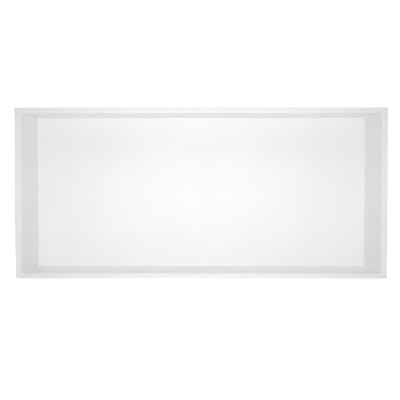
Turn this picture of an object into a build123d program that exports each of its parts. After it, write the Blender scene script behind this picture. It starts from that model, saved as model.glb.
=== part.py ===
"""Shower niche insert: a recessed shelf box for a shower wall, cast in one piece from white solid surface.

The insert is an open-fronted box. Its walls and back are one casting of mineral-filled acrylic, so it is
one solid. The face of its rim shows as a narrow white frame round the mouth, and the rest sits inside the
wall.

Frame: +X to the right as seen from the shower, +Y into the wall, +Z up. The origin is on the underside, in
the middle of the width and of the depth. Lengths are in millimetres and angles in degrees.
"""

import os
from math import radians, tan

from build123d import *

# Overall size, over the rim and from the rim's face to the back
WIDTH = 610.0
HEIGHT = 279.5
DEPTH = 100.0

# Thickness of the casting: its walls at the mouth, where they are the rim's face, and its back
SIDE_WALL = 9.8
TOP_WALL = 9.3
FLOOR_WALL = 8.3
BACK_WALL = 10.0

# Square band behind the rim's face, which the tiles butt against
RIM_BAND = 12.0

# Draft, by which the side walls and the ceiling lean in towards the back so that the mould's core draws
# out, and the fall of the recess's floor, which sheds water over the rim
SIDE_DRAFT = 6.0
CEILING_DRAFT = 0.5
FLOOR_FALL = 1.0

# Edge radii: eased arrises on the rim, tight coves in the recess, broken edges on the hidden outside
RIM_OUTER_RADIUS = 1.0
RIM_INNER_RADIUS = 1.5
RECESS_CORNER_RADIUS = 1.5
RECESS_BACK_RADIUS = 1.0
OUTER_CORNER_RADIUS = 1.5
OUTER_BACK_RADIUS = 1.0

# Planes that the casting runs between, from the rim's face to the back
RIM_Y = -DEPTH / 2
BAND_Y = RIM_Y + RIM_BAND
BACK_Y = DEPTH / 2
RECESS_BACK_Y = BACK_Y - BACK_WALL


def lean(angle, start_y, end_y):
    """How far a wall that leans by the angle moves over between two depths."""
    return (end_y - start_y) * tan(radians(angle))


def section(y, width, bottom, top, corner_radius):
    """A cross-section at one depth: a round-cornered rectangle in the middle of the width."""
    facing_shower = Plane(origin=(0, y, (bottom + top) / 2), x_dir=(1, 0, 0), z_dir=(0, -1, 0))
    with BuildSketch(facing_shower) as sketch:
        RectangleRounded(width, top - bottom, corner_radius)
    return sketch.sketch


def cast_block():
    """The outside of the casting: the square band, then side walls that lean in as the recess's do."""
    back_width = WIDTH - 2 * lean(SIDE_DRAFT, BAND_Y, BACK_Y)
    with BuildPart() as block:
        rim = section(RIM_Y, WIDTH, 0, HEIGHT, OUTER_CORNER_RADIUS)
        extrude(rim, amount=RIM_BAND, dir=(0, 1, 0))
        band_end = section(BAND_Y, WIDTH, 0, HEIGHT, OUTER_CORNER_RADIUS)
        back = section(BACK_Y, back_width, 0, HEIGHT, OUTER_CORNER_RADIUS)
        loft([band_end, back], ruled=True)
        fillet(block.faces().sort_by(Axis.Y)[-1].edges(), OUTER_BACK_RADIUS)
    return block.part


def recess_core():
    """The mould's core, which leaves the recess: it tapers to the back, where the floor is highest."""
    mouth_width = WIDTH - 2 * SIDE_WALL
    mouth_ceiling = HEIGHT - TOP_WALL
    back_width = mouth_width - 2 * lean(SIDE_DRAFT, RIM_Y, RECESS_BACK_Y)
    back_floor = FLOOR_WALL + lean(FLOOR_FALL, RIM_Y, RECESS_BACK_Y)
    back_ceiling = mouth_ceiling - lean(CEILING_DRAFT, RIM_Y, RECESS_BACK_Y)
    with BuildPart() as core:
        mouth = section(RIM_Y, mouth_width, FLOOR_WALL, mouth_ceiling, RECESS_CORNER_RADIUS)
        back = section(RECESS_BACK_Y, back_width, back_floor, back_ceiling, RECESS_CORNER_RADIUS)
        loft([mouth, back], ruled=True)
        fillet(core.faces().sort_by(Axis.Y)[-1].edges(), RECESS_BACK_RADIUS)
    return core.part


def niche_body():
    """The whole casting: the block less its core, with both arrises of the rim's face eased."""
    with BuildPart() as body:
        add(cast_block())
        add(recess_core(), mode=Mode.SUBTRACT)
        fillet(body.faces().sort_by(Axis.Y)[0].inner_wires()[0].edges(), RIM_INNER_RADIUS)
        fillet(body.faces().sort_by(Axis.Y)[0].outer_wire().edges(), RIM_OUTER_RADIUS)
    return body.part


os.makedirs("parts", exist_ok=True)
export_step(niche_body(), "parts/niche_body.step")
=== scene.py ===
"""Looks of the shower niche insert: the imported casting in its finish, on a white floor in studio light.

Everything is in metres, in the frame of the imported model: +X to the right as seen from the shower, +Y
into the wall, +Z up, with the origin on the underside.
"""
import math

import bpy
import numpy as np
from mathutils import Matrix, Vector


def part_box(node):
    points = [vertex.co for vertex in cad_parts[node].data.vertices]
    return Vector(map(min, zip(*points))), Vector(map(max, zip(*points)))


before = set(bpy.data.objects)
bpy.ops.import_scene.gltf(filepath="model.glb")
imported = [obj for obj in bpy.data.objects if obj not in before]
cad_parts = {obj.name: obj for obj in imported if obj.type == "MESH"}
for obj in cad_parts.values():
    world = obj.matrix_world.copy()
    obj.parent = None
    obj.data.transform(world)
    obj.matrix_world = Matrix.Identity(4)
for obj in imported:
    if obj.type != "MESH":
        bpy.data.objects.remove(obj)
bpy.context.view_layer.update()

# Niche body: the whole insert is one open-fronted box, cast in a mould from acrylic resin filled with a
# white mineral powder. The recess and the rim's face are sanded to an even matt white. The outside,
# which is bonded into the wall, is left as it came from the mould.
MM = 0.001
body_low, body_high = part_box("niche_body")
body_centre = (body_low + body_high) / 2
SANDED_WHITE, SANDED_PALEST = "#F3F3F3", "#F6F6F6"
CAST_WHITE, CAST_PALEST = "#E7E6E3", "#EFEEEC"
# Grey that the bubble pits darken to: a little dirt, and painted shade of the pit walls.
PIT_DIRT_AND_SHADE_GREY = "#D6D4D0"
SOLID_SURFACE_IOR = 1.5
SANDED_ROUGHNESS = (0.30, 0.40)
CAST_ROUGHNESS = (0.55, 0.70)
SANDED_PAST_RIM = 2 * MM
FINISH_BLEND = 1 * MM
POWDER_GRAIN = 1.6 * MM
POWDER_OCTAVES = 2.0
RESIN_CLOUD = 70 * MM
RESIN_OCTAVES = 3.0
CLOUD_SHARE = 0.5
CLOUDING_SPAN = (0.35, 0.65)
SANDER_SWIRL = 9 * MM
SWIRL_RING = 2.5 * MM
SWIRL_HEIGHT_MM = 0.004
MOULD_RIPPLE = 18 * MM
RIPPLE_OCTAVES = 2.0
RIPPLE_HEIGHT_MM = 0.5
BUBBLE_SPACING = 14 * MM
BUBBLE_RADIUS_MM = 1.8
PIT_FULL_DIRT_AND_SHADE_MM = 0.8
MIX_COLOUR_OUTPUT = 2


def linear(hex_colour):
    """An sRGB hex colour as linear RGBA: c / 12.92 near black, ((c + 0.055) / 1.055) ** 2.4 above it."""
    channels = np.array([int(hex_colour[i:i + 2], 16) for i in (1, 3, 5)]) / 255
    curve = np.where(channels <= 0.04045, channels / 12.92, ((channels + 0.055) / 1.055) ** 2.4)
    return (*curve.tolist(), 1.0)


def add_node(tree, kind, inputs=(), **settings):
    """Adds a node with its settings, and links or sets each input by its identifier or its name."""
    node = tree.nodes.new(kind)
    for name, value in settings.items():
        setattr(node, name, value)
    for key, value in dict(inputs).items():
        socket = next(s for s in node.inputs if key in (s.identifier, s.name))
        if isinstance(value, bpy.types.NodeSocket):
            tree.links.new(value, socket)
        else:
            socket.default_value = value
    return node


def as_cast_side(tree, place, normal):
    """1 where the casting is as it left the mould, and 0 where it is sanded. As cast is what faces away
    from the middle of the box and lies behind the rim's face."""
    from_centre = add_node(
        tree, "ShaderNodeVectorMath",
        {"Vector": place, "Vector_001": body_centre},
        operation="SUBTRACT",
    )
    facing = add_node(
        tree, "ShaderNodeVectorMath",
        {"Vector": from_centre.outputs["Vector"], "Vector_001": normal},
        operation="DOT_PRODUCT",
    )
    outward = add_node(
        tree, "ShaderNodeMapRange",
        {"Value": facing.outputs["Value"], "From Min": -FINISH_BLEND, "From Max": FINISH_BLEND},
    )
    depth = add_node(tree, "ShaderNodeSeparateXYZ", {"Vector": place})
    sanded_to = body_low.y + SANDED_PAST_RIM
    past_rim = add_node(
        tree, "ShaderNodeMapRange",
        {"Value": depth.outputs["Y"], "From Min": sanded_to - FINISH_BLEND, "From Max": sanded_to},
    )
    return add_node(
        tree, "ShaderNodeMath",
        {"Value": outward.outputs["Result"], "Value_001": past_rim.outputs["Result"]},
        operation="MULTIPLY",
    ).outputs["Value"]


def powder_clouding(tree, place):
    """How pale the white is, from 0 to 1: grains of powder over clouds of resin. The grains are far
    coarser than their real 0.05 mm so that they show."""
    grain = add_node(
        tree, "ShaderNodeTexNoise",
        {"Vector": place, "Scale": 1 / POWDER_GRAIN, "Detail": POWDER_OCTAVES},
    )
    cloud = add_node(
        tree, "ShaderNodeTexNoise",
        {"Vector": place, "Scale": 1 / RESIN_CLOUD, "Detail": RESIN_OCTAVES},
    )
    mottle = add_node(
        tree, "ShaderNodeMix",
        {"Factor_Float": CLOUD_SHARE, "A_Float": grain.outputs["Fac"], "B_Float": cloud.outputs["Fac"]},
        data_type="FLOAT",
    )
    return add_node(
        tree, "ShaderNodeMapRange",
        {"Value": mottle.outputs["Result"], "From Min": CLOUDING_SPAN[0], "From Max": CLOUDING_SPAN[1]},
    ).outputs["Result"]


def sanded_finish(tree, place, clouding):
    """Colour, roughness and height in mm of the sanded faces. A random-orbit sander leaves rings round
    scattered centres, which give a faint satin. They are wider apart than their real 0.3 mm so that they
    show."""
    colour = add_node(
        tree, "ShaderNodeMix",
        {"Factor_Float": clouding, "A_Color": linear(SANDED_WHITE), "B_Color": linear(SANDED_PALEST)},
        data_type="RGBA",
    )
    swirl = add_node(tree, "ShaderNodeTexVoronoi", {"Vector": place, "Scale": 1 / SANDER_SWIRL})
    turns = add_node(
        tree, "ShaderNodeMath",
        {"Value": swirl.outputs["Distance"], "Value_001": 2 * math.pi * SANDER_SWIRL / SWIRL_RING},
        operation="MULTIPLY",
    )
    rings = add_node(
        tree, "ShaderNodeMath", {"Value": turns.outputs["Value"]}, operation="SINE"
    ).outputs["Value"]
    roughness = add_node(
        tree, "ShaderNodeMapRange",
        {"Value": rings, "From Min": -1.0, "To Min": SANDED_ROUGHNESS[0], "To Max": SANDED_ROUGHNESS[1]},
    )
    height = add_node(
        tree, "ShaderNodeMath", {"Value": rings, "Value_001": SWIRL_HEIGHT_MM}, operation="MULTIPLY"
    )
    return colour.outputs[MIX_COLOUR_OUTPUT], roughness.outputs["Result"], height.outputs["Value"]


def as_cast_finish(tree, place, clouding):
    """Colour, roughness and height in mm of the faces left as cast. They are duller, with the broad
    ripples of the mould's face, less the pits of the air bubbles that lay against it. Each bubble has a
    size of its own, and its pit is a cone as deep as its radius. Its colour greys towards its bottom, for
    a little dirt in it and as painted shade of its walls."""
    ripple = add_node(
        tree, "ShaderNodeTexNoise",
        {"Vector": place, "Scale": 1 / MOULD_RIPPLE, "Detail": RIPPLE_OCTAVES},
    )
    roughness = add_node(
        tree, "ShaderNodeMapRange",
        {"Value": ripple.outputs["Fac"], "To Min": CAST_ROUGHNESS[0], "To Max": CAST_ROUGHNESS[1]},
    )
    bubble = add_node(tree, "ShaderNodeTexVoronoi", {"Vector": place, "Scale": 1 / BUBBLE_SPACING})
    from_bubble = add_node(
        tree, "ShaderNodeMath",
        {"Value": bubble.outputs["Distance"], "Value_001": BUBBLE_SPACING / MM},
        operation="MULTIPLY",
    )
    chance = add_node(tree, "ShaderNodeSeparateXYZ", {"Vector": bubble.outputs["Color"]})
    bubble_radius = add_node(
        tree, "ShaderNodeMath",
        {"Value": chance.outputs["X"], "Value_001": BUBBLE_RADIUS_MM},
        operation="MULTIPLY",
    )
    past_bubble = add_node(
        tree, "ShaderNodeMath",
        {"Value": from_bubble.outputs["Value"], "Value_001": bubble_radius.outputs["Value"]},
        operation="SUBTRACT",
    )
    pit = add_node(
        tree, "ShaderNodeMath",
        {"Value": past_bubble.outputs["Value"], "Value_001": 0.0},
        operation="MINIMUM",
    ).outputs["Value"]
    height = add_node(
        tree, "ShaderNodeMath",
        {"Value": ripple.outputs["Fac"], "Value_001": RIPPLE_HEIGHT_MM, "Value_002": pit},
        operation="MULTIPLY_ADD",
    )
    clean = add_node(
        tree, "ShaderNodeMix",
        {"Factor_Float": clouding, "A_Color": linear(CAST_WHITE), "B_Color": linear(CAST_PALEST)},
        data_type="RGBA",
    )
    # Painted shade and dirt: the colour greys towards the bottom of each pit.
    pit_dirt_and_shade = add_node(tree, "ShaderNodeMapRange", {"Value": pit, "From Max": -PIT_FULL_DIRT_AND_SHADE_MM})
    colour = add_node(
        tree, "ShaderNodeMix",
        {
            "Factor_Float": pit_dirt_and_shade.outputs["Result"],
            "A_Color": clean.outputs[MIX_COLOUR_OUTPUT],
            "B_Color": linear(PIT_DIRT_AND_SHADE_GREY),
        },
        data_type="RGBA",
    )
    return colour.outputs[MIX_COLOUR_OUTPUT], roughness.outputs["Result"], height.outputs["Value"]


def cast_solid_surface():
    """Cast solid surface, an acrylic filled with mineral powder: a white that its powder clouds very
    slightly, satin where it is sanded and dull where it is as cast."""
    material = bpy.data.materials.new("cast_solid_surface")
    material.use_nodes = True
    tree = material.node_tree
    tree.nodes.clear()
    coordinates = add_node(tree, "ShaderNodeTexCoord")
    place = coordinates.outputs["Object"]
    as_cast = as_cast_side(tree, place, coordinates.outputs["Normal"])
    clouding = powder_clouding(tree, place)
    sanded_colour, sanded_roughness, sanded_height = sanded_finish(tree, place, clouding)
    cast_colour, cast_roughness, cast_height = as_cast_finish(tree, place, clouding)
    colour = add_node(
        tree, "ShaderNodeMix",
        {"Factor_Float": as_cast, "A_Color": sanded_colour, "B_Color": cast_colour},
        data_type="RGBA",
    )
    roughness = add_node(
        tree, "ShaderNodeMix",
        {"Factor_Float": as_cast, "A_Float": sanded_roughness, "B_Float": cast_roughness},
        data_type="FLOAT",
    )
    height = add_node(
        tree, "ShaderNodeMix",
        {"Factor_Float": as_cast, "A_Float": sanded_height, "B_Float": cast_height},
        data_type="FLOAT",
    )
    relief = add_node(tree, "ShaderNodeBump", {"Height": height.outputs["Result"], "Distance": MM})
    surface = add_node(
        tree, "ShaderNodeBsdfPrincipled",
        {
            "Base Color": colour.outputs[MIX_COLOUR_OUTPUT],
            "Roughness": roughness.outputs["Result"],
            "IOR": SOLID_SURFACE_IOR,
            "Normal": relief.outputs["Normal"],
        },
    )
    add_node(tree, "ShaderNodeOutputMaterial", {"Surface": surface.outputs["BSDF"]})
    return material


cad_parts["niche_body"].data.materials[0] = cast_solid_surface()

# Floor: a round of matt white studio paper that the insert stands on. It throws light back up at the
# insert and keeps its shadow, and towards its edge it runs into the white behind.
FLOOR_RADIUS = 1.5
FLOOR_SECTORS = 96
FLOOR_WHITE = "#F5F5F5"
FLOOR_GLOW = 0.41
FLOOR_FADE = (0.35, 0.75)
BACKGROUND_WHITE = "#FFFFFF"
BACKGROUND_STRENGTH = 1.0


def disc(radius, sectors):
    """A flat disc about the origin: a fan of triangles from its middle to points at an even spacing of
    the angle a along its edge, radius * (cos a, sin a, 0)."""
    a = np.linspace(0, 2 * np.pi, sectors, endpoint=False)
    edge = radius * np.stack([np.cos(a), np.sin(a), np.zeros(sectors)], axis=-1)
    points = np.concatenate([np.zeros((1, 3)), edge])
    this = np.arange(sectors) + 1
    faces = np.stack([np.zeros(sectors, dtype=int), this, this % sectors + 1], axis=-1)
    mesh = bpy.data.meshes.new("studio_floor")
    mesh.from_pydata(points.tolist(), [], faces.tolist())
    return mesh


def seen_rays(tree):
    """1 for rays that show the background, from the camera, off gloss or through glass, else 0."""
    path = add_node(tree, "ShaderNodeLightPath")
    seen = path.outputs["Is Camera Ray"]
    for kind in ("Is Glossy Ray", "Is Transmission Ray"):
        seen = add_node(
            tree, "ShaderNodeMath", {"Value": seen, "Value_001": path.outputs[kind]}, operation="MAXIMUM"
        ).outputs["Value"]
    return seen


def studio_paper():
    """Matt white paper. To the rays that show the background it glows a little, and its edge is plain
    white."""
    material = bpy.data.materials.new("studio_paper")
    material.use_nodes = True
    tree = material.node_tree
    tree.nodes.clear()
    seen = seen_rays(tree)
    paper = add_node(tree, "ShaderNodeBsdfDiffuse", {"Color": linear(FLOOR_WHITE)})
    glow_strength = add_node(
        tree, "ShaderNodeMath", {"Value": seen, "Value_001": FLOOR_GLOW}, operation="MULTIPLY"
    )
    glow = add_node(
        tree, "ShaderNodeEmission",
        {"Color": linear(BACKGROUND_WHITE), "Strength": glow_strength.outputs["Value"]},
    )
    glowing_paper = add_node(
        tree, "ShaderNodeAddShader",
        {"Shader": paper.outputs["BSDF"], "Shader_001": glow.outputs["Emission"]},
    )
    coordinates = add_node(tree, "ShaderNodeTexCoord")
    from_middle = add_node(
        tree, "ShaderNodeVectorMath", {"Vector": coordinates.outputs["Object"]}, operation="LENGTH"
    )
    fade = add_node(
        tree, "ShaderNodeMapRange",
        {"Value": from_middle.outputs["Value"], "From Min": FLOOR_FADE[0], "From Max": FLOOR_FADE[1]},
        interpolation_type="SMOOTHSTEP",
    )
    faded = add_node(
        tree, "ShaderNodeMath",
        {"Value": seen, "Value_001": fade.outputs["Result"]},
        operation="MULTIPLY",
    )
    white = add_node(
        tree, "ShaderNodeEmission",
        {"Color": linear(BACKGROUND_WHITE), "Strength": BACKGROUND_STRENGTH},
    )
    shown = add_node(
        tree, "ShaderNodeMixShader",
        {
            "Fac": faded.outputs["Value"],
            "Shader": glowing_paper.outputs["Shader"],
            "Shader_001": white.outputs["Emission"],
        },
    )
    add_node(tree, "ShaderNodeOutputMaterial", {"Surface": shown.outputs["Shader"]})
    return material


floor = bpy.data.objects.new("studio_floor", disc(FLOOR_RADIUS, FLOOR_SECTORS))
floor.data.materials.append(studio_paper())
bpy.context.scene.collection.objects.link(floor)

# Light: a white surround, and softboxes that don't show in the picture. One close in front, with a grid
# on it, lights the recess, and one high in front lights its floor and the rim. One overhead and a pair
# behind, left and right, light the outside.
AMBIENT_STRENGTH = 0.16
FRONT_SOFTBOX = {"place": (0, -0.63, 0.145), "size": (0.60, 0.27), "watts": 0.95, "beam": 115}
HIGH_SOFTBOX = {"place": (0, -1.00, 1.40), "size": (2.00, 1.00), "watts": 6.3}
OVERHEAD_SOFTBOX = {"place": (0, 0.40, 1.30), "size": (1.40, 0.70), "watts": 6.0}
REAR_SOFTBOX = {"place": (1.05, 0.90, 0.50), "size": (0.80, 0.60), "watts": 7.4}


def softbox(name, place, size, watts, beam=180):
    """A flat lamp, as wide and as high as its size says, that faces the middle of the insert. A grid on
    it narrows its beam to that many degrees."""
    lamp = bpy.data.lights.new(name, "AREA")
    lamp.shape = "RECTANGLE"
    lamp.size, lamp.size_y = size
    lamp.energy = watts
    lamp.spread = math.radians(beam)
    holder = bpy.data.objects.new(name, lamp)
    holder.location = place
    holder.rotation_euler = (body_centre - Vector(place)).to_track_quat("-Z", "Y").to_euler()
    holder.visible_camera = False
    bpy.context.scene.collection.objects.link(holder)


softbox("front_softbox", **FRONT_SOFTBOX)
softbox("high_softbox", **HIGH_SOFTBOX)
softbox("overhead_softbox", **OVERHEAD_SOFTBOX)
for name, side in (("rear_left_softbox", -1), ("rear_right_softbox", 1)):
    x, y, z = REAR_SOFTBOX["place"]
    softbox(name, **{**REAR_SOFTBOX, "place": (side * x, y, z)})

surround = bpy.data.worlds.new("white_surround")
surround.use_nodes = True
surround.node_tree.nodes.clear()
ambient = add_node(
    surround.node_tree, "ShaderNodeBackground",
    {"Color": linear(BACKGROUND_WHITE), "Strength": AMBIENT_STRENGTH},
)
backdrop = add_node(
    surround.node_tree, "ShaderNodeBackground",
    {"Color": linear(BACKGROUND_WHITE), "Strength": BACKGROUND_STRENGTH},
)
shown = add_node(
    surround.node_tree, "ShaderNodeMixShader",
    {
        "Fac": seen_rays(surround.node_tree),
        "Shader": ambient.outputs["Background"],
        "Shader_001": backdrop.outputs["Background"],
    },
)
add_node(surround.node_tree, "ShaderNodeOutputWorld", {"Surface": shown.outputs["Shader"]})
bpy.context.scene.world = surround

# Camera: it stands square in front of the mouth, a little above its middle, and is tipped slightly down.
# Its place is in metres, and its tip and turn are in degrees.
CAMERA_FROM_RIM = 1.3108
CAMERA_TO_RIGHT = 0.0027
CAMERA_HEIGHT = 0.1650
CAMERA_TIP_DOWN = 1.592
CAMERA_TURN_LEFT = 0.195
CAMERA_LENS_MM = 72.05

camera = bpy.data.objects.new("camera", bpy.data.cameras.new("camera"))
camera.data.lens = CAMERA_LENS_MM
camera.location = (CAMERA_TO_RIGHT, body_low.y - CAMERA_FROM_RIM, CAMERA_HEIGHT)
camera.rotation_euler = (math.radians(90 - CAMERA_TIP_DOWN), 0, math.radians(CAMERA_TURN_LEFT))
bpy.context.scene.collection.objects.link(camera)
bpy.context.scene.camera = camera
bpy.context.scene.view_settings.view_transform = "Standard"
